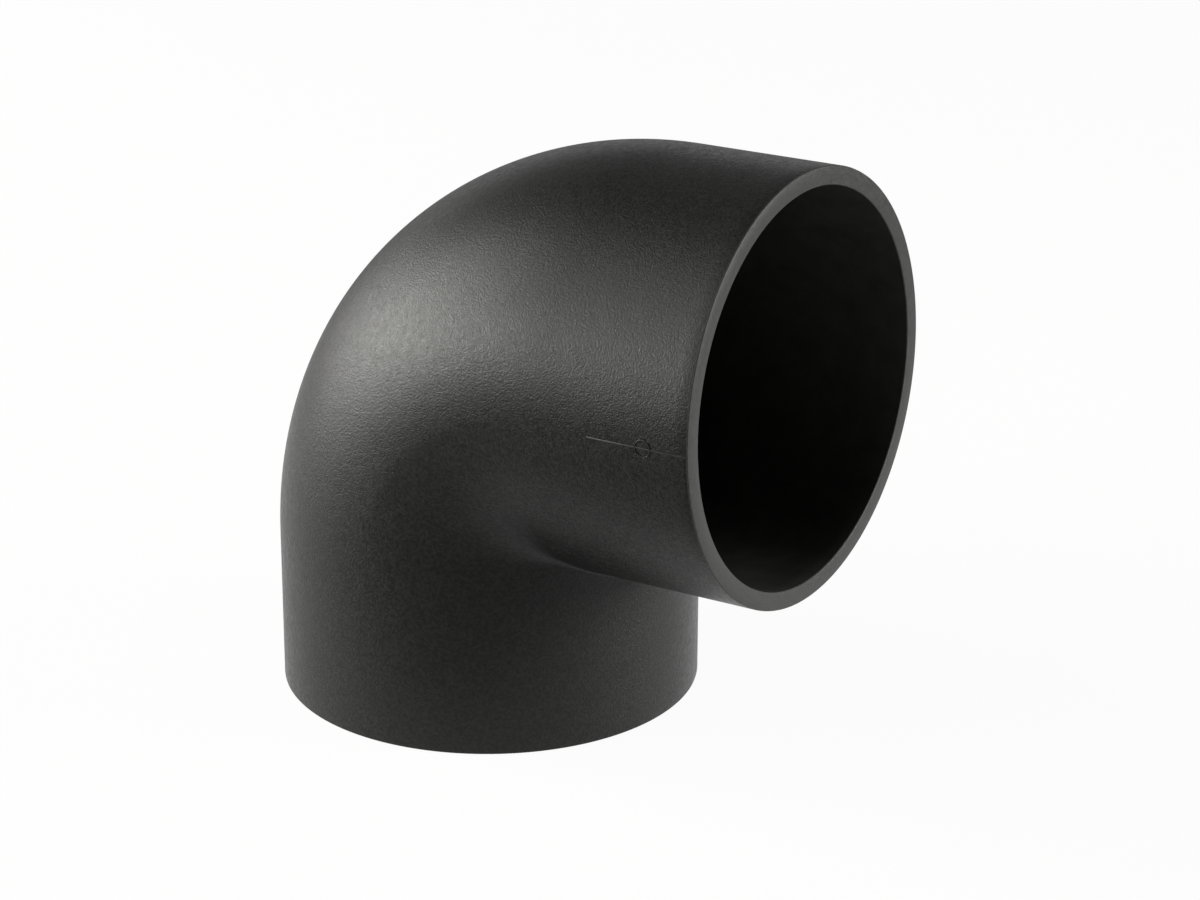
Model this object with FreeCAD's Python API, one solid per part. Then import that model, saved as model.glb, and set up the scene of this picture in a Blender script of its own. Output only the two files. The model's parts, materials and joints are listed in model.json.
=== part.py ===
import FreeCAD, Part
import math, os

# Short-radius drainage bend with two plain spigot ends, moulded in one piece.
# The origin is the centre of the lower end face, +Z runs up the lower leg,
# and the upper leg leaves towards +X.

# Driving dimensions, in millimetres and degrees
OUTER_DIAMETER = 110.0
WALL = 4.8
BEND_ANGLE = 88.5
# Straight part of each leg, from the end face to where the back of the bend starts
LEG_LENGTH = 40.93
# From the bend's axis to the nearest point of the wall
THROAT_GAP = 0.5
# Width of the plain mitred corner across the throat, beyond which the corner rounds off more and more
MITRE_WIDTH = 63.2
# Chamfer on the inner and outer edge of each end face
EDGE_BREAK = 0.4

# Raised alignment mark on the side of the upper leg: a fine line from the mouth, through a small ring
MARK_LINE_LENGTH = 28.0
MARK_LINE_WIDTH = 0.4
MARK_HEIGHT = 0.15
MARK_RING_DIAMETER = 4.2
MARK_RING_STROKE = 0.35
MARK_RING_TO_MOUTH = 12.4

# Sizes that follow from the driving dimensions
OUTER_RADIUS = OUTER_DIAMETER / 2
BORE_RADIUS = OUTER_RADIUS - WALL
MOUTH = 2 * LEG_LENGTH
# The back of the bend follows a wide turn, and the throat a tight one about an axis further out
BACK_RADIUS = OUTER_RADIUS + THROAT_GAP
THROAT_RADIUS = math.sqrt(OUTER_RADIUS ** 2 - (MITRE_WIDTH / 2) ** 2)
TIGHT_START = LEG_LENGTH + (BACK_RADIUS - THROAT_RADIUS) * math.tan(math.radians(BEND_ANGLE / 2))

UP = FreeCAD.Vector(0, 0, 1)
BEND_AXIS = FreeCAD.Vector(0, 1, 0)
BACK_CENTRE = FreeCAD.Vector(BACK_RADIUS, 0, LEG_LENGTH)
TIGHT_CENTRE = FreeCAD.Vector(THROAT_RADIUS, 0, TIGHT_START)


def carried_round(shape, centre):
    """Return a shape that was drawn above the lower leg, carried round the turn about that centre."""
    turned = shape.copy()
    turned.rotate(centre, BEND_AXIS, BEND_ANGLE)
    return turned


def tube_leg():
    """Return the straight lower leg, with the edges of its end face broken."""
    profile = Part.makePolygon([
        FreeCAD.Vector(BORE_RADIUS + EDGE_BREAK, 0, 0),
        FreeCAD.Vector(OUTER_RADIUS - EDGE_BREAK, 0, 0),
        FreeCAD.Vector(OUTER_RADIUS, 0, EDGE_BREAK),
        FreeCAD.Vector(OUTER_RADIUS, 0, LEG_LENGTH),
        FreeCAD.Vector(BORE_RADIUS, 0, LEG_LENGTH),
        FreeCAD.Vector(BORE_RADIUS, 0, EDGE_BREAK),
        FreeCAD.Vector(BORE_RADIUS + EDGE_BREAK, 0, 0),
    ])
    return Part.Face(profile).revolve(FreeCAD.Vector(0, 0, 0), UP, 360)


def upper_leg():
    """Return the second leg: one like the first, turned mouth up on the bend's start and carried round."""
    leg = tube_leg()
    leg.rotate(FreeCAD.Vector(0, 0, 0), FreeCAD.Vector(1, 0, 0), 180)
    leg.translate(UP * MOUTH)
    return carried_round(leg, BACK_CENTRE)


def back_arc(radius):
    """Return the half circle of the wall's section that faces away from the bend's axis."""
    left = FreeCAD.Vector(0, radius, LEG_LENGTH)
    back = FreeCAD.Vector(-radius, 0, LEG_LENGTH)
    right = FreeCAD.Vector(0, -radius, LEG_LENGTH)
    return Part.Arc(left, back, right).toShape()


def back_wall():
    """Return the back half of the bend: half of the ring section, revolved through the wide turn."""
    inner = FreeCAD.Vector(0, BORE_RADIUS, LEG_LENGTH)
    outer = FreeCAD.Vector(0, OUTER_RADIUS, LEG_LENGTH)
    left = Part.makeLine(inner, outer)
    right = left.mirror(FreeCAD.Vector(0, 0, 0), BEND_AXIS)
    section = Part.Face(Part.Wire([back_arc(OUTER_RADIUS), right, back_arc(BORE_RADIUS), left]))
    return section.revolve(BACK_CENTRE, BEND_AXIS, BEND_ANGLE)


def tight_rod(radius):
    """Return a round rod along both legs with a turn so tight that its inner side meets in a mitre."""
    start = FreeCAD.Vector(0, 0, TIGHT_START)
    lower = Part.makeCylinder(radius, TIGHT_START)
    upper = carried_round(Part.makeCylinder(radius, TIGHT_START, start), TIGHT_CENTRE)
    section = Part.Face(Part.Wire(Part.makeCircle(radius, start, UP)))
    if radius > THROAT_RADIUS:
        corner = FreeCAD.Vector(THROAT_RADIUS, -radius, TIGHT_START - radius)
        past_axis = Part.makeBox(2 * radius, 2 * radius, 2 * radius, corner)
        section = section.cut(past_axis).Faces[0]
    return lower.fuse([section.revolve(TIGHT_CENTRE, BEND_AXIS, BEND_ANGLE), upper])


def throat_wall():
    """Return the inner half of the bend, between the two legs, as free-form surfaces of its own."""
    axis_start = BACK_CENTRE - BEND_AXIS * OUTER_DIAMETER
    inner_side = Part.makeCylinder(BACK_RADIUS, 2 * OUTER_DIAMETER, axis_start, BEND_AXIS)
    outside = tight_rod(OUTER_RADIUS).common(inner_side)
    waterway = tight_rod(BORE_RADIUS).common(inner_side)
    beside = FreeCAD.Vector(-OUTER_DIAMETER, -OUTER_DIAMETER, 0)
    lower_block = Part.makeBox(2 * OUTER_DIAMETER, 2 * OUTER_DIAMETER, LEG_LENGTH, beside)
    upper_block = lower_block.copy()
    upper_block.translate(UP * LEG_LENGTH)
    return outside.cut(waterway).cut([lower_block, carried_round(upper_block, BACK_CENTRE)]).toNurbs()


def alignment_mark():
    """Return the raised line and ring, as thin as their height and curved with the pipe's wall."""
    depth = OUTER_RADIUS + MARK_HEIGHT
    line = Part.makeBox(MARK_LINE_WIDTH, depth, MARK_LINE_LENGTH - EDGE_BREAK)
    line.translate(FreeCAD.Vector(-MARK_LINE_WIDTH / 2, -depth, MOUTH - MARK_LINE_LENGTH))
    ring_centre = FreeCAD.Vector(0, -depth, MOUTH - MARK_RING_TO_MOUTH)
    ring_outside = (MARK_RING_DIAMETER + MARK_RING_STROKE) / 2
    ring_inside = (MARK_RING_DIAMETER - MARK_RING_STROKE) / 2
    ring = Part.makeCylinder(ring_outside, depth, ring_centre, BEND_AXIS)
    ring = ring.cut(Part.makeCylinder(ring_inside, depth, ring_centre, BEND_AXIS))
    skin = Part.makeCylinder(depth, MOUTH)
    skin = skin.cut(Part.makeCylinder(OUTER_RADIUS - WALL / 2, MOUTH))
    return carried_round(line.fuse(ring).common(skin), BACK_CENTRE)


def pipe_bend():
    """Return the whole fitting as one solid."""
    return tube_leg().fuse([back_wall(), throat_wall(), upper_leg(), alignment_mark()])


def main():
    """Build the fitting and write it out."""
    os.makedirs("parts", exist_ok=True)
    bend = pipe_bend()
    print("solids", len(bend.Solids), "valid", bend.isValid(), "volume", round(bend.Volume, 1))
    bend.exportStep("parts/pipe_bend.step")


main()
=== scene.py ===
import json
import logging
import math
from collections import Counter
from dataclasses import dataclass, field
from enum import Enum
from typing import Callable

import bpy
from mathutils import Matrix, Vector


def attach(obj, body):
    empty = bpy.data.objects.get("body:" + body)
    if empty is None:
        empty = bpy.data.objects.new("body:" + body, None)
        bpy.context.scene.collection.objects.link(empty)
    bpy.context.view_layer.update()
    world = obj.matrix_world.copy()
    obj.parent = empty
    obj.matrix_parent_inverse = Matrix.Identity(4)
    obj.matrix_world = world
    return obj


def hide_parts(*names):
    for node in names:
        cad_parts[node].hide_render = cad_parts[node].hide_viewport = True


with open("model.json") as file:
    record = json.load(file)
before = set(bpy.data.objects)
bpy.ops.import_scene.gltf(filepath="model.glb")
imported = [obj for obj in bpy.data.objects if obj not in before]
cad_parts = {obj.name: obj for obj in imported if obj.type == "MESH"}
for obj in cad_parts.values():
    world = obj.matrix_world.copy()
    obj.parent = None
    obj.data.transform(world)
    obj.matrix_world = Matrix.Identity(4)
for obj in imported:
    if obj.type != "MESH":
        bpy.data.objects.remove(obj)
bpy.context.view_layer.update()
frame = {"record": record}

# Short-radius drainage bend with plain spigot ends, moulded in one piece in black polyethylene.
# Metres throughout. The lower mouth is at the origin, and the upper leg leaves towards +X.

MM = 0.001
BODY = "root"
NODE = "pipe_bend"
# How near to an end face a point counts as on it
TOUCH = 0.02 * MM
# How near two angles count as the same, in radians: round the turn, and round a section
ANGLE_TOUCH = 1e-5
SECTION_TOUCH = 1e-6

log = logging.getLogger("pipe_bend_looks")


class Zone(Enum):
    """The kinds of surface on the fitting, in the order of its material slots."""

    MOULDED = 0
    CUT = 1
    BORE = 2
    RAISED = 3


class End(Enum):
    """The two ends of the fitting."""

    LOWER = "lower"
    UPPER = "upper"


def direction(turn: float, rise: float) -> Vector:
    """Give the way that two angles point.

    Args:
        turn: the angle from the front (-Y) towards the right (+X), in degrees.
        rise: the angle above the floor, in degrees.

    Returns:
        The way, one long.
    """
    side, up = math.radians(turn), math.radians(rise)
    return Vector((math.sin(side) * math.cos(up), -math.cos(side) * math.cos(up), math.sin(up)))


@dataclass
class NodeBench:
    """A material's node tree with short ways to add to it."""

    name: str
    material: bpy.types.Material = field(init=False)

    def __post_init__(self) -> None:
        """Start an empty tree that holds only a surface shader and its output."""
        self.material = bpy.data.materials.new(self.name)
        self.material.use_nodes = True
        self.tree = self.material.node_tree
        self.shader = self.tree.nodes["Principled BSDF"]
        self.coordinates = self.add("ShaderNodeTexCoord").outputs["Object"]

    def add(self, kind: str, **inputs: object) -> bpy.types.Node:
        """Add one node.

        Args:
            kind: the node's type name.
            **inputs: values for its named inputs, with spaces written as underscores.

        Returns:
            The new node.
        """
        node = self.tree.nodes.new(kind)
        for key, value in inputs.items():
            node.inputs[key.replace("_", " ")].default_value = value
        return node

    def link(self, source: bpy.types.NodeSocket, target: bpy.types.NodeSocket) -> None:
        """Join one node's output to another's input."""
        self.tree.links.new(source, target)

    def noise(
        self,
        scale: float,
        detail: float,
        roughness: float = 0.5,
        source: bpy.types.NodeSocket | None = None,
    ) -> bpy.types.NodeSocket:
        """Add a noise pattern.

        Args:
            scale: how many cells fit in a metre.
            detail: how many finer layers it carries.
            roughness: how strong the finer layers are.
            source: the coordinates that it follows, the object's own by default.

        Returns:
            The pattern's value output.
        """
        node = self.add("ShaderNodeTexNoise", Scale=scale, Detail=detail, Roughness=roughness)
        self.link(source or self.coordinates, node.inputs["Vector"])
        return node.outputs["Fac"]

    def spread(
        self,
        value: bpy.types.NodeSocket,
        low: float,
        high: float,
        start: float = 0.0,
        end: float = 1.0,
    ) -> bpy.types.NodeSocket:
        """Spread a value over a new range.

        Args:
            value: the value to spread.
            low: the result at start.
            high: the result at end.
            start: the value that gives low.
            end: the value that gives high.

        Returns:
            The spread value.
        """
        node = self.add("ShaderNodeMapRange")
        for index, number in ((1, start), (2, end), (3, low), (4, high)):
            node.inputs[index].default_value = number
        self.link(value, node.inputs[0])
        return node.outputs[0]

    def product(
        self, first: bpy.types.NodeSocket, second: bpy.types.NodeSocket
    ) -> bpy.types.NodeSocket:
        """Multiply two values.

        Args:
            first: one value.
            second: the other.

        Returns:
            Their product.
        """
        node = self.add("ShaderNodeMath")
        node.operation = "MULTIPLY"
        self.link(first, node.inputs[0])
        self.link(second, node.inputs[1])
        return node.outputs[0]

    def colour(
        self,
        share: bpy.types.NodeSocket,
        first: tuple[float, float, float],
        second: tuple[float, float, float],
    ) -> None:
        """Colour the surface with a blend of two colours.

        Args:
            share: how much of the second colour shows.
            first: the colour at 0.
            second: the colour at 1.
        """
        node = self.tree.nodes.new("ShaderNodeMix")
        node.data_type = "RGBA"
        node.inputs[6].default_value = (*first, 1.0)
        node.inputs[7].default_value = (*second, 1.0)
        self.link(share, node.inputs[0])
        self.link(node.outputs[2], self.shader.inputs["Base Color"])

    def roughen(
        self,
        pattern: bpy.types.NodeSocket,
        middle: float,
        swing: float,
        reach: tuple[float, float] = (0.3, 0.7),
    ) -> None:
        """Let the surface's roughness follow a pattern.

        Args:
            pattern: the pattern's value.
            middle: the roughness half way.
            swing: how far it goes below and above that.
            reach: the pattern's values at which it goes that far.
        """
        rough = self.spread(pattern, middle - swing, middle + swing, *reach)
        self.link(rough, self.shader.inputs["Roughness"])

    def bump(
        self,
        height: bpy.types.NodeSocket,
        distance: float,
        strength: float,
        below: bpy.types.NodeSocket | None = None,
    ) -> bpy.types.NodeSocket:
        """Add a bump layer.

        Args:
            height: the pattern that raises the surface.
            distance: its full height in metres.
            strength: how much of it shows.
            below: the bump layer that it lies on.

        Returns:
            The bent surface direction.
        """
        node = self.add("ShaderNodeBump", Distance=distance, Strength=strength)
        self.link(height, node.inputs["Height"])
        if below is not None:
            self.link(below, node.inputs["Normal"])
        return node.outputs["Normal"]


@dataclass(frozen=True)
class MouldedSkin:
    """The moulded outside: charcoal black, satin and finely grained, with faint clouds in it."""

    dark: tuple[float, float, float] = (0.0008, 0.0008, 0.0008)
    light: tuple[float, float, float] = (0.0095, 0.0094, 0.0088)
    roughness: float = 0.38
    roughness_swing: float = 0.07
    ior: float = 1.345
    cloud_per_metre: float = 190.0
    speck_per_metre: float = 1150.0
    mottle_per_metre: float = 650.0
    grain_per_metre: float = 2300.0
    ripple_per_metre: float = 55.0
    # Height in metres and strength of each bump layer
    ripple_bump: tuple[float, float] = (0.0003, 0.35)
    speck_bump: tuple[float, float] = (0.00010, 0.60)
    grain_bump: tuple[float, float] = (0.00010, 0.90)

    def material(self) -> bpy.types.Material:
        """Make the finish.

        Returns:
            The finish as a material.
        """
        bench = NodeBench("moulded_black_skin")
        clouds = bench.noise(self.cloud_per_metre, detail=3.0, roughness=0.6)
        specks = bench.noise(self.speck_per_metre, detail=2.0, roughness=0.6)
        mottle = bench.noise(self.mottle_per_metre, detail=3.0, roughness=0.65)
        grain = bench.noise(self.grain_per_metre, detail=2.0, roughness=0.6)
        ripple = bench.noise(self.ripple_per_metre, detail=2.0, roughness=0.45)
        speck_share = bench.spread(specks, 0.0, 1.0, 0.36, 0.64)
        share = bench.product(speck_share, bench.spread(clouds, 0.75, 1.25, 0.3, 0.7))
        bench.colour(share, self.dark, self.light)
        bench.roughen(mottle, self.roughness, self.roughness_swing, (0.32, 0.68))
        bench.shader.inputs["IOR"].default_value = self.ior
        bent = bench.bump(ripple, *self.ripple_bump)
        bent = bench.bump(specks, *self.speck_bump, bent)
        bent = bench.bump(grain, *self.grain_bump, bent)
        bench.link(bent, bench.shader.inputs["Normal"])
        return bench.material


@dataclass(frozen=True)
class CutFace:
    """The squared-off end faces: duller and a little greyer, with the cutter's fine rings."""

    dark: tuple[float, float, float] = (0.023, 0.023, 0.023)
    light: tuple[float, float, float] = (0.035, 0.035, 0.034)
    roughness: float = 0.42
    roughness_swing: float = 0.06
    ior: float = 1.31
    rings_per_metre: float = 1900.0
    speck_per_metre: float = 900.0
    # How deep below an end face its rings fade out
    ring_fade: float = 2.0 * MM
    # Height in metres and strength of each bump layer
    ring_bump: tuple[float, float] = (0.00002, 0.35)
    speck_bump: tuple[float, float] = (0.00003, 0.4)

    def material(self, form: "BendForm") -> bpy.types.Material:
        """Make the finish.

        Args:
            form: the fitting's sizes, for where the two end faces' middles are.

        Returns:
            The finish as a material.
        """
        bench = NodeBench("cut_end_face")
        rings = [self.rings(bench, form.to_end(end)) for end in End]
        marks = bench.add("ShaderNodeMath")
        marks.operation = "ADD"
        bench.link(rings[0], marks.inputs[0])
        bench.link(rings[1], marks.inputs[1])
        specks = bench.noise(self.speck_per_metre, detail=2.0, roughness=0.6)
        bench.colour(bench.spread(specks, 0.0, 1.0, 0.3, 0.7), self.dark, self.light)
        bench.roughen(specks, self.roughness, self.roughness_swing)
        bench.shader.inputs["IOR"].default_value = self.ior
        bent = bench.bump(marks.outputs[0], *self.ring_bump)
        bent = bench.bump(specks, *self.speck_bump, bent)
        bench.link(bent, bench.shader.inputs["Normal"])
        return bench.material

    def rings(self, bench: NodeBench, to_end: Matrix) -> bpy.types.NodeSocket:
        """Add the rings that a cutter leaves on one end face.

        Args:
            bench: the material's tree.
            to_end: the turn and shift that carry the object's space to the end face's own.

        Returns:
            The rings' height, which is flat away from that end.
        """
        mapping = bench.add("ShaderNodeMapping")
        mapping.inputs["Location"].default_value = to_end.to_translation()
        mapping.inputs["Rotation"].default_value = to_end.to_euler()
        bench.link(bench.coordinates, mapping.inputs["Vector"])
        parts = bench.add("ShaderNodeSeparateXYZ")
        bench.link(mapping.outputs["Vector"], parts.inputs[0])
        across = bench.add("ShaderNodeCombineXYZ")
        bench.link(parts.outputs["X"], across.inputs["X"])
        bench.link(parts.outputs["Y"], across.inputs["Y"])
        reach = bench.add("ShaderNodeVectorMath")
        reach.operation = "LENGTH"
        bench.link(across.outputs[0], reach.inputs[0])
        scaled = bench.add("ShaderNodeMath")
        scaled.operation = "MULTIPLY"
        scaled.inputs[1].default_value = self.rings_per_metre * math.tau
        bench.link(reach.outputs["Value"], scaled.inputs[0])
        wave = bench.add("ShaderNodeMath")
        wave.operation = "SINE"
        bench.link(scaled.outputs[0], wave.inputs[0])
        near = bench.spread(parts.outputs["Z"], 1.0, 0.0, 0.0, self.ring_fade)
        return bench.product(wave.outputs[0], near)


@dataclass(frozen=True)
class BoreSkin:
    """The waterway's wall: the same plastic, but dull, and coloured much paler than the outside as
    painted light in the shaded waterway.
    """

    # Painted light: these colours are several times paler than the outside's black and stand in for
    # light inside the shaded waterway
    dark: tuple[float, float, float] = (0.028, 0.028, 0.027)
    light: tuple[float, float, float] = (0.040, 0.040, 0.038)
    roughness: float = 0.62
    roughness_swing: float = 0.05
    ior: float = 1.04
    cloud_per_metre: float = 120.0
    grain_per_metre: float = 1300.0
    # Height in metres and strength of the bump
    grain_bump: tuple[float, float] = (0.00003, 0.4)

    def material(self) -> bpy.types.Material:
        """Make the finish.

        Returns:
            The finish as a material.
        """
        bench = NodeBench("waterway_painted_lit")
        clouds = bench.noise(self.cloud_per_metre, detail=3.0, roughness=0.6)
        grain = bench.noise(self.grain_per_metre, detail=2.0, roughness=0.6)
        bench.colour(bench.spread(clouds, 0.0, 1.0, 0.3, 0.7), self.dark, self.light)
        bench.roughen(clouds, self.roughness, self.roughness_swing)
        bench.shader.inputs["IOR"].default_value = self.ior
        bench.link(bench.bump(grain, *self.grain_bump), bench.shader.inputs["Normal"])
        return bench.material


@dataclass(frozen=True)
class RaisedSkin:
    """The top of the fine raised line: the same plastic, coloured a little paler and smoother than
    the skin.
    """

    dark: tuple[float, float, float] = (0.010, 0.010, 0.010)
    light: tuple[float, float, float] = (0.030, 0.030, 0.029)
    roughness: float = 0.375
    roughness_swing: float = 0.065
    ior: float = 1.36
    # How fine the paler and darker patches on the line's top are
    patch_per_metre: float = 700.0
    # Height in metres and strength of the bump
    patch_bump: tuple[float, float] = (0.00002, 0.4)

    def material(self) -> bpy.types.Material:
        """Make the finish.

        Returns:
            The finish as a material.
        """
        bench = NodeBench("paler_raised_line")
        patches = bench.noise(self.patch_per_metre, detail=2.0, roughness=0.6)
        bench.colour(bench.spread(patches, 0.0, 1.0, 0.35, 0.65), self.dark, self.light)
        bench.roughen(patches, self.roughness, self.roughness_swing)
        bench.shader.inputs["IOR"].default_value = self.ior
        bench.link(bench.bump(patches, *self.patch_bump), bench.shader.inputs["Normal"])
        return bench.material


@dataclass
class BendForm:
    """The fitting's sizes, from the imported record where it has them, and the forms that follow.

    The back of the bend follows a wide turn. Its throat follows a tight one, whose middle is a
    mitred corner.
    """

    outer_radius: float
    centre_to_end: float
    angle: float
    wall: float = 4.8 * MM
    back_radius: float = 55.5 * MM
    throat_radius: float = 45.0 * MM
    corner_radius: float = 0.5 * MM
    corner_softness: float = 2.0 * MM
    edge_break: float = 0.4 * MM
    # How often the search for the flank's width halves its range, and below which width it is none
    flank_halvings: int = 40
    flank_least: float = 1e-7

    @classmethod
    def from_record(cls, record: dict) -> "BendForm":
        """Read the sizes that the record's two spigots give.

        Args:
            record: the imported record.

        Returns:
            The fitting's form.
        """
        mounts = {mount["name"]: mount for mount in record["mounts"]}
        axis = mounts["upper_spigot"]["axis"]
        angle = math.atan2(axis[0], axis[2])
        return cls(
            outer_radius=mounts["lower_spigot"]["dims"]["r_mm"] * MM,
            centre_to_end=mounts["upper_spigot"]["pos_m"][0] / math.sin(angle),
            angle=angle,
        )

    @property
    def bore_radius(self) -> float:
        """The waterway's radius."""
        return self.outer_radius - self.wall

    @property
    def straight(self) -> float:
        """The straight part of each leg."""
        return self.centre_to_end - self.back_radius * math.tan(self.angle / 2)

    @property
    def centre(self) -> Vector:
        """The middle of the wide turn."""
        return Vector((self.back_radius, 0.0, self.straight))

    @property
    def upper_direction(self) -> Vector:
        """The way that the upper leg points."""
        return Vector((math.sin(self.angle), 0.0, math.cos(self.angle)))

    def mouth(self, end: End) -> Vector:
        """The middle of one end face.

        Args:
            end: which end.

        Returns:
            The point.
        """
        if end is End.LOWER:
            return Vector((0.0, 0.0, 0.0))
        corner = Vector((0.0, 0.0, self.centre_to_end))
        return corner + self.upper_direction * self.centre_to_end

    def to_end(self, end: End) -> Matrix:
        """The move that carries a point to one end face's own space, whose +Z runs into the pipe.

        Args:
            end: which end.

        Returns:
            The move as a matrix.
        """
        if end is End.LOWER:
            return Matrix.Identity(4)
        turn = Matrix.Rotation(math.pi - self.angle, 4, "Y")
        return turn @ Matrix.Translation(-self.mouth(end))

    def throat_reach(self, side: float, share: float) -> float:
        """How far from the wide turn's axis the throat's wall lies.

        Args:
            side: the section's half width in the bend's plane, at this distance from that plane.
            share: the angle round the turn, from the nearer leg.

        Returns:
            The distance from the axis.
        """
        over = self.throat_radius - side - self.corner_radius
        rounding = self.corner_radius + 0.5 * (over + math.hypot(over, self.corner_softness))
        half = self.angle / 2
        line = (self.back_radius - side) / math.cos(share)
        corner = (self.back_radius - side) / math.cos(half)
        away = corner - rounding / math.cos(half)
        along = away * math.cos(half - share)
        under = along * along - away * away + rounding * rounding
        if under <= 0.0:
            return line
        arc = along + math.sqrt(under)
        touch = math.atan2(away * math.sin(half), away * math.cos(half) + rounding)
        return arc if share > touch else line

    def back_reach(self, side: float) -> float:
        """How far from the wide turn's axis the back's wall lies, where its half width is side."""
        return self.back_radius + side

    def flank(self, radius: float, share: float) -> float:
        """The section's half width at which throat and back meet.

        Args:
            radius: the round surface's radius.
            share: the angle round the turn, from the nearer leg.

        Returns:
            That half width, which is 0 where the turn starts.
        """
        low, high = 0.0, radius / 4
        for _ in range(self.flank_halvings):
            middle = (low + high) / 2
            if self.throat_reach(middle, share) > self.back_reach(middle):
                low = middle
            else:
                high = middle
        return low if low > self.flank_least else 0.0


@dataclass
class Finishes:
    """The fitting's materials, one for each zone."""

    form: BendForm
    materials: dict[Zone, bpy.types.Material] = field(init=False)

    def __post_init__(self) -> None:
        """Make the materials."""
        self.materials = {
            Zone.MOULDED: MouldedSkin().material(),
            Zone.CUT: CutFace().material(self.form),
            Zone.BORE: BoreSkin().material(),
            Zone.RAISED: RaisedSkin().material(),
        }

    def paint(self, piece: bpy.types.Object, zone: Zone) -> None:
        """Give a piece every material, in the zones' order, and show one zone's on all of it.

        Args:
            piece: the piece, which has no material yet.
            zone: the zone that it belongs to.
        """
        for one in Zone:
            piece.data.materials.append(self.materials[one])
        for face in piece.data.polygons:
            face.material_index = zone.value


@dataclass
class PipeBend:
    """The whole fitting: legs, bend and alignment mark, moulded in one piece."""

    form: BendForm
    finishes: Finishes
    segments: int = 224
    turn_steps: int = 88
    leg_steps: int = 10
    edge_segments: int = 3
    smooth_angle: float = 25.0
    piece: bpy.types.Object = field(init=False)

    def build(self) -> None:
        """Model the wall: its outside, its waterway, its end faces and their broken edges."""
        outside = self.round_surface("pipe_bend_skin", self.form.outer_radius)
        waterway = self.round_surface("waterway", self.form.bore_radius)
        self.finishes.paint(outside, Zone.MOULDED)
        self.finishes.paint(waterway, Zone.BORE)
        bpy.ops.object.select_all(action="DESELECT")
        waterway.select_set(True)
        outside.select_set(True)
        bpy.context.view_layer.objects.active = outside
        bpy.ops.object.join()
        self.piece = outside
        self.close_ends()
        self.break_edges()

    def round_surface(self, name: str, radius: float) -> bpy.types.Object:
        """Model one round surface: a circle drawn up the lower leg, spun round and drawn out.

        Args:
            name: the new object's name.
            radius: the surface's radius.

        Returns:
            The open tube.
        """
        form = self.form
        bpy.ops.object.select_all(action="DESELECT")
        bpy.ops.mesh.primitive_circle_add(
            vertices=self.segments, radius=radius, fill_type="NOTHING", location=(0.0, 0.0, 0.0)
        )
        tube = bpy.context.object
        tube.name = name
        bpy.ops.object.mode_set(mode="EDIT")
        bpy.ops.mesh.select_all(action="SELECT")
        step = form.straight / self.leg_steps
        for _ in range(self.leg_steps):
            bpy.ops.mesh.extrude_region_move(TRANSFORM_OT_translate={"value": (0.0, 0.0, step)})
        bpy.ops.mesh.spin(
            steps=self.turn_steps, angle=-form.angle, center=form.centre, axis=(0.0, 1.0, 0.0)
        )
        for _ in range(self.leg_steps):
            bpy.ops.mesh.extrude_region_move(
                TRANSFORM_OT_translate={"value": form.upper_direction * step}
            )
        bpy.ops.object.mode_set(mode="OBJECT")
        self.shape_turn(tube, radius)
        return tube

    def shape_turn(self, tube: bpy.types.Object, radius: float) -> None:
        """Move the turn's points from the plain ring to the mitred throat and the round back.

        Args:
            tube: the open tube, with its turn a plain ring.
            radius: the tube's radius.
        """
        form = self.form
        for vertex in tube.data.vertices:
            away = vertex.co - form.centre
            turned = math.atan2(away.z, -away.x)
            if not ANGLE_TOUCH < turned < form.angle - ANGLE_TOUCH:
                continue
            share = min(turned, form.angle - turned)
            inward = form.back_radius - math.hypot(away.x, away.z)
            round_angle = math.atan2(inward, abs(vertex.co.y))
            start = math.asin(form.flank(radius, share) / radius)
            angle = start + (math.pi / 2 - start) * abs(round_angle) / (math.pi / 2)
            side = radius * math.sin(angle)
            inner = round_angle > SECTION_TOUCH
            reach = form.throat_reach(side, share) if inner else form.back_reach(side)
            vertex.co.x = form.centre.x - reach * math.cos(turned)
            vertex.co.z = form.centre.z + reach * math.sin(turned)
            vertex.co.y = math.copysign(radius * math.cos(angle), vertex.co.y)

    def pick_edges(self, wanted: Callable[[list[Vector]], bool]) -> None:
        """Select the edges that a test wants, and nothing else, and go to edit mode.

        Args:
            wanted: says whether an edge is wanted, from where its two ends are.
        """
        mesh = self.piece.data
        bpy.ops.object.mode_set(mode="EDIT")
        bpy.ops.mesh.select_mode(type="EDGE")
        bpy.ops.mesh.select_all(action="DESELECT")
        bpy.ops.object.mode_set(mode="OBJECT")
        for edge in mesh.edges:
            edge.select = wanted([mesh.vertices[index].co for index in edge.vertices])
        bpy.ops.object.mode_set(mode="EDIT")

    def on_rim(self, ends: list[Vector], end: End, radius: float) -> bool:
        """Whether an edge lies on one end's round rim.

        Args:
            ends: where the edge's two ends are.
            end: which end of the fitting.
            radius: the rim's radius.

        Returns:
            Whether both ends of the edge are on it.
        """
        for point in ends:
            local = self.form.to_end(end) @ point
            if abs(local.z) > TOUCH or abs(math.hypot(local.x, local.y) - radius) > TOUCH:
                return False
        return True

    def close_ends(self) -> None:
        """Close the wall by its two end faces, drawn in from the outer rims to the waterway's."""
        form = self.form
        inward = form.bore_radius / form.outer_radius
        for end in End:
            self.pick_edges(lambda ends, end=end: self.on_rim(ends, end, form.outer_radius))
            bpy.ops.mesh.extrude_region_move(TRANSFORM_OT_translate={"value": (0.0, 0.0, 0.0)})
            bpy.ops.transform.resize(value=[inward] * 3, center_override=form.mouth(end))
        bpy.ops.mesh.select_all(action="SELECT")
        bpy.ops.mesh.remove_doubles(threshold=TOUCH)
        bpy.ops.mesh.normals_make_consistent(inside=False)
        bpy.ops.object.mode_set(mode="OBJECT")
        for face in self.piece.data.polygons:
            if any(abs((form.to_end(end) @ face.center).z) < TOUCH for end in End):
                face.material_index = Zone.CUT.value

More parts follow.
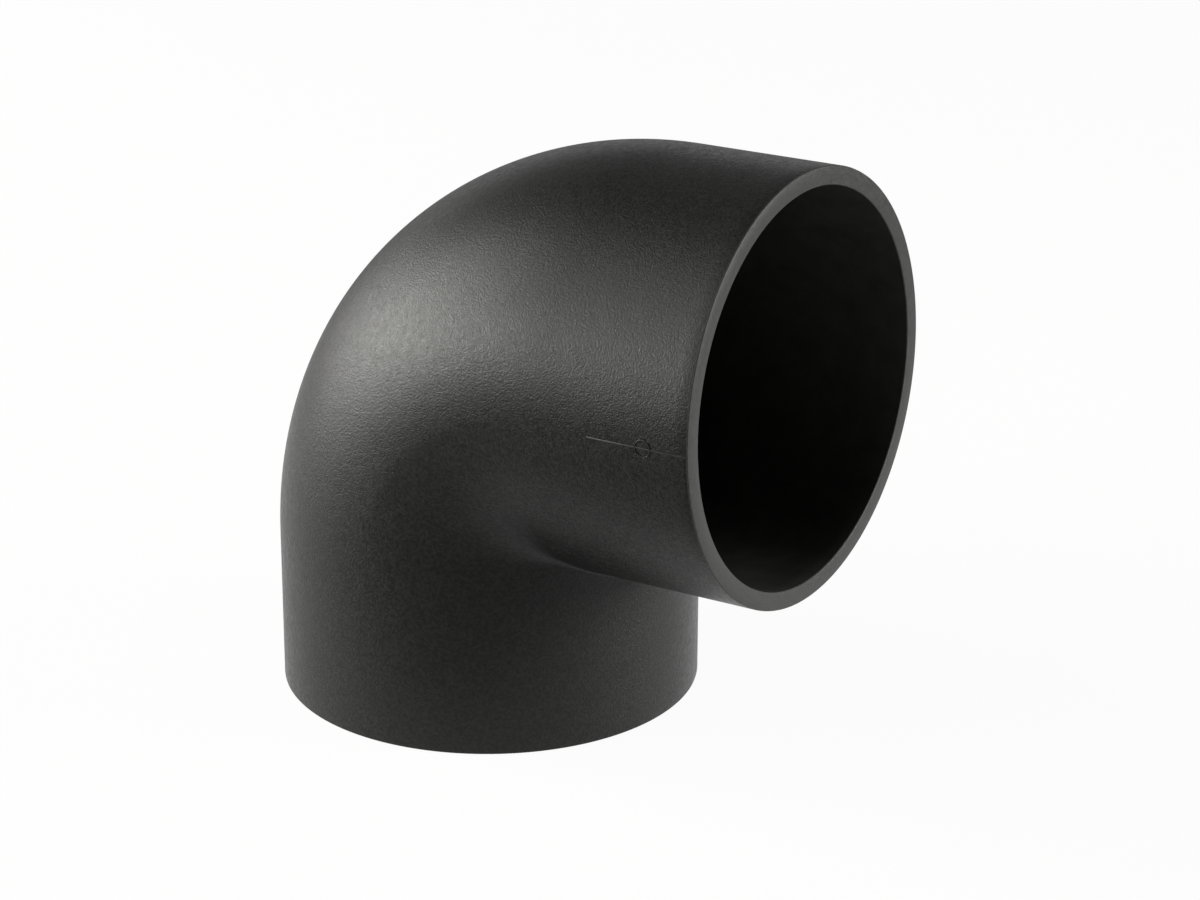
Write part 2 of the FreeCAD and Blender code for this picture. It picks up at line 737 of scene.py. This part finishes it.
    def break_edges(self) -> None:
        """Break the four sharp edges of the end faces."""
        form = self.form
        rims = [(end, radius) for end in End for radius in (form.outer_radius, form.bore_radius)]
        self.pick_edges(lambda ends: any(self.on_rim(ends, end, radius) for end, radius in rims))
        bpy.ops.mesh.bevel(
            offset=form.edge_break,
            offset_type="OFFSET",
            segments=self.edge_segments,
            affect="EDGES",
            material=Zone.CUT.value,
        )
        bpy.ops.object.mode_set(mode="OBJECT")

    def dress(self) -> None:
        """Smooth the piece, tie it to the frame and log how many faces each finish has."""
        shown = Counter(Zone(face.material_index).name for face in self.piece.data.polygons)
        log.info("faces by finish: %s", dict(shown))
        bpy.ops.object.select_all(action="DESELECT")
        self.piece.select_set(True)
        bpy.context.view_layer.objects.active = self.piece
        bpy.ops.object.shade_smooth_by_angle(angle=math.radians(self.smooth_angle))
        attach(self.piece, BODY)
        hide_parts(NODE)


@dataclass
class AlignmentMark:
    """The raised line and ring on the side of the upper leg, which the mould leaves."""

    form: BendForm
    line_length: float = 28.0 * MM
    line_width: float = 0.4 * MM
    height: float = 0.15 * MM
    ring_diameter: float = 4.2 * MM
    ring_stroke: float = 0.35 * MM
    ring_to_mouth: float = 12.4 * MM
    line_softness: float = 0.12 * MM
    ring_segments: tuple[int, int] = (48, 12)

    def place(self, to_mouth: float) -> Vector:
        """Return the point on the leg's side at a distance from the mouth."""
        side = Vector((0.0, -self.form.outer_radius, 0.0))
        return self.form.mouth(End.UPPER) - self.form.upper_direction * to_mouth + side

    def build(self, wall: PipeBend) -> None:
        """Model the line and the ring and join them to the wall.

        Args:
            wall: the fitting that carries them.
        """
        lean = math.pi / 2 - self.form.angle
        bpy.ops.object.select_all(action="DESELECT")
        bpy.ops.mesh.primitive_cube_add(size=1.0, location=(0.0, 0.0, 0.0))
        line = bpy.context.object
        length = self.line_length - self.form.edge_break
        line.data.transform(Matrix.Diagonal((length, 2 * self.height, self.line_width, 1.0)))
        self.soften(line, self.line_softness)
        line.data.transform(Matrix.Rotation(-lean, 4, "Y"))
        line.data.transform(Matrix.Translation(self.place(self.form.edge_break + length / 2)))
        bpy.ops.object.select_all(action="DESELECT")
        bpy.ops.mesh.primitive_torus_add(
            major_segments=self.ring_segments[0],
            minor_segments=self.ring_segments[1],
            major_radius=self.ring_diameter / 2,
            minor_radius=self.ring_stroke / 2,
            location=(0.0, 0.0, 0.0),
            rotation=(math.pi / 2, 0.0, 0.0),
        )
        ring = bpy.context.object
        bpy.ops.object.transform_apply(location=True, rotation=True, scale=True)
        ring.data.transform(Matrix.Translation(self.place(self.ring_to_mouth)))
        wall.finishes.paint(line, Zone.RAISED)
        wall.finishes.paint(ring, Zone.MOULDED)
        bpy.ops.object.select_all(action="DESELECT")
        for one in (line, ring, wall.piece):
            one.select_set(True)
        bpy.context.view_layer.objects.active = wall.piece
        bpy.ops.object.join()

    @staticmethod
    def soften(piece: bpy.types.Object, width: float) -> None:
        """Round a small piece's edges.

        Args:
            piece: the piece, which is the active object.
            width: how wide the rounding is.
        """
        modifier = piece.modifiers.new("soft_edges", "BEVEL")
        modifier.width = width
        modifier.segments = 2
        bpy.ops.object.modifier_apply(modifier=modifier.name)


@dataclass
class Softbox:
    """One soft lamp, placed by the way it lies from the fitting."""

    name: str
    turn: float
    rise: float
    distance: float
    size: tuple[float, float]
    power: float
    tint: tuple[float, float, float] = (1.0, 0.998, 0.955)
    target: Vector = field(default_factory=lambda: Vector((0.02, 0.0, 0.08)))

    def build(self) -> None:
        """Hang the lamp."""
        back = direction(self.turn, self.rise)
        lamp = bpy.data.lights.new(self.name, "AREA")
        lamp.shape = "RECTANGLE"
        lamp.size, lamp.size_y = self.size
        lamp.energy = self.power
        lamp.color = self.tint
        holder = bpy.data.objects.new(self.name, lamp)
        bpy.context.scene.collection.objects.link(holder)
        holder.location = self.target + back * self.distance
        holder.rotation_mode = "QUATERNION"
        holder.rotation_quaternion = back.to_track_quat("Z", "Y")


@dataclass
class Studio:
    """The pale floor, the white surroundings and the soft lamps.

    The camera sees floor and surroundings white. In gloss they are dimmer in front, far off and
    overhead, so that the fitting's lower leg, flanks and top come out dark.
    """

    floor_size: float = 14.0
    floor_grey: float = 0.80
    floor_roughness: float = 0.9
    # How much of the seen floor is plain white, with its own shading as the rest
    floor_white: float = 0.95
    # In gloss the floor is white within the first reach and as dim as floor_far beyond the second
    floor_reach: tuple[float, float] = (0.26, 0.58)
    floor_far: float = 0.16
    # In gloss it also dims to floor_front between two distances from the fitting, towards this turn
    front_turn: float = 18.0
    front_edge: tuple[float, float] = (0.074, 0.104)
    floor_front: float = 0.42
    surroundings: float = 0.05
    # How high the white backdrop reaches, as a direction's upward share, and the level above it
    backdrop_rise: float = 0.30
    overhead: float = 0.26
    camera_turn: float = 33.4
    panel_distance: float = 1.5
    # The wide soft light on the left as panels, and a low one on the right, each with its turn
    # from the camera, its rise, its size and its power
    panels: tuple[tuple[str, float, float, tuple[float, float], float], ...] = (
        ("left_front_low", -60.0, 8.0, (0.63, 0.42), 2.0),
        ("left_low", -84.0, 8.0, (0.63, 0.42), 14.2),
        ("left_back_low", -108.0, 8.0, (0.63, 0.42), 11.5),
        ("left_rear_low", -132.0, 8.0, (0.63, 0.42), 2.5),
        ("left_front", -60.0, 28.0, (0.60, 0.60), 4.5),
        ("left_middle", -84.0, 28.0, (0.60, 0.60), 2.2),
        ("left_back", -108.0, 28.0, (0.60, 0.60), 7.9),
        ("left_front_high", -60.0, 52.0, (0.60, 0.60), 2.6),
        ("left_back_high", -100.0, 52.0, (0.60, 0.60), 1.2),
        ("right_low", 84.0, 8.0, (0.63, 0.42), 28.0),
    )

    def build(self) -> None:
        """Set up floor, world and lamps."""
        self.lay_floor()
        self.light_world()
        turn = self.camera_turn
        for name, side, rise, size, power in self.panels:
            Softbox(name, turn + side, rise, self.panel_distance, size, power).build()
        bpy.context.scene.view_settings.view_transform = "Standard"

    def lay_floor(self) -> None:
        """Lay the floor, which the camera sees as white with the object's soft shadow on it, and
        which gloss sees dimmer far off and in front, as a painted dark reflection in the fitting.
        """
        bpy.ops.object.select_all(action="DESELECT")
        bpy.ops.mesh.primitive_plane_add(size=self.floor_size, location=(0.0, 0.0, 0.0))
        floor = bpy.context.object
        floor.name = "studio_floor"
        bench = NodeBench("pale_floor")
        grey = self.floor_grey
        bench.shader.inputs["Base Color"].default_value = (grey, grey, grey, 1.0)
        bench.shader.inputs["Roughness"].default_value = self.floor_roughness
        white = bench.add("ShaderNodeEmission")
        path = bench.add("ShaderNodeLightPath")
        away = bench.add("ShaderNodeVectorMath")
        away.operation = "LENGTH"
        bench.link(bench.coordinates, away.inputs[0])
        fading = bench.spread(away.outputs["Value"], 1.0, self.floor_far, *self.floor_reach)
        forward = bench.add("ShaderNodeVectorMath")
        forward.operation = "DOT_PRODUCT"
        bench.link(bench.coordinates, forward.inputs[0])
        forward.inputs[1].default_value = direction(self.front_turn, 0.0)
        front = bench.spread(forward.outputs["Value"], 1.0, self.floor_front, *self.front_edge)
        # Painted dark reflection: only in gloss does the floor dim far off and in front, so the
        # fitting's lower parts mirror a darker floor than the camera sees
        gloss = bench.product(path.outputs["Is Glossy Ray"], bench.product(fading, front))
        seen = [path.outputs["Is Camera Ray"], path.outputs["Is Transmission Ray"]]
        bench.link(self.largest(bench.tree, seen + [gloss]), white.inputs["Strength"])
        either = self.largest(bench.tree, seen + [path.outputs["Is Glossy Ray"]])
        mix = bench.add("ShaderNodeMixShader")
        bench.link(bench.spread(either, 0.0, self.floor_white), mix.inputs[0])
        bench.link(bench.shader.outputs[0], mix.inputs[1])
        bench.link(white.outputs[0], mix.inputs[2])
        bench.link(mix.outputs[0], bench.tree.nodes["Material Output"].inputs["Surface"])
        floor.data.materials.append(bench.material)

    @staticmethod
    def largest(
        tree: bpy.types.NodeTree, values: list[bpy.types.NodeSocket]
    ) -> bpy.types.NodeSocket:
        """Return the largest of several values.

        Args:
            tree: the tree that they are in.
            values: the values' sockets.

        Returns:
            The socket of the largest.
        """
        top = values[0]
        for value in values[1:]:
            either = tree.nodes.new("ShaderNodeMath")
            either.operation = "MAXIMUM"
            tree.links.new(top, either.inputs[0])
            tree.links.new(value, either.inputs[1])
            top = either.outputs[0]
        return top

    def light_world(self) -> None:
        """Set the surroundings: white to the camera, and in gloss white only at the horizon."""
        world = bpy.data.worlds.new("studio_surroundings")
        bpy.context.scene.world = world
        world.use_nodes = True
        tree = world.node_tree
        background = tree.nodes["Background"]
        background.inputs["Color"].default_value = (1.0, 1.0, 1.0, 1.0)
        path = tree.nodes.new("ShaderNodeLightPath")
        looking = tree.nodes.new("ShaderNodeTexCoord")
        parts = tree.nodes.new("ShaderNodeSeparateXYZ")
        tree.links.new(looking.outputs["Generated"], parts.inputs[0])
        dimming = tree.nodes.new("ShaderNodeMapRange")
        dimming.interpolation_type = "SMOOTHSTEP"
        dimming.inputs["From Max"].default_value = self.backdrop_rise
        dimming.inputs["To Min"].default_value = 1.0
        dimming.inputs["To Max"].default_value = self.overhead
        tree.links.new(parts.outputs["Z"], dimming.inputs["Value"])
        gloss = tree.nodes.new("ShaderNodeMath")
        gloss.operation = "MULTIPLY"
        tree.links.new(path.outputs["Is Glossy Ray"], gloss.inputs[0])
        tree.links.new(dimming.outputs[0], gloss.inputs[1])
        base = tree.nodes.new("ShaderNodeValue")
        base.outputs[0].default_value = self.surroundings
        kinds = [path.outputs["Is Camera Ray"], path.outputs["Is Transmission Ray"]]
        level = self.largest(tree, kinds + [gloss.outputs[0], base.outputs[0]])
        tree.links.new(level, background.inputs["Strength"])


@dataclass
class PhotoCamera:
    """The camera, at the photograph's viewing angle."""

    place: tuple[float, float, float] = (0.48873, -0.68860, 0.38995)
    turn: float = 33.41
    rise: float = 21.28
    roll: float = 0.18
    lens: float = 104.13
    sensor: float = 36.0

    def build(self) -> None:
        """Set up the camera."""
        back = direction(self.turn, self.rise)
        turn, roll = math.radians(self.turn), math.radians(self.roll)
        level = Vector((math.cos(turn), math.sin(turn), 0.0))
        upright = back.cross(level)
        right = level * math.cos(roll) + upright * math.sin(roll)
        up = upright * math.cos(roll) - level * math.sin(roll)
        lens = bpy.data.cameras.new("photo_camera")
        lens.sensor_width = self.sensor
        lens.lens = self.lens
        camera = bpy.data.objects.new("photo_camera", lens)
        bpy.context.scene.collection.objects.link(camera)
        aim = Matrix((right, up, back)).transposed().to_4x4()
        camera.matrix_world = Matrix.Translation(Vector(self.place)) @ aim
        bpy.context.scene.camera = camera


def main() -> None:
    """Build the fitting, dress it, and set up the studio and the camera."""
    logging.basicConfig(level=logging.INFO)
    form = BendForm.from_record(frame["record"])
    bend = PipeBend(form, Finishes(form))
    bend.build()
    log.info("pipe bend wall modelled: %d faces", len(bend.piece.data.polygons))
    AlignmentMark(form).build(bend)
    log.info("alignment mark modelled")
    bend.dress()
    log.info("pipe bend dressed")
    Studio().build()
    log.info("studio set up")
    PhotoCamera().build()
    log.info("camera set up")


if __name__ == "__main__":
    main()
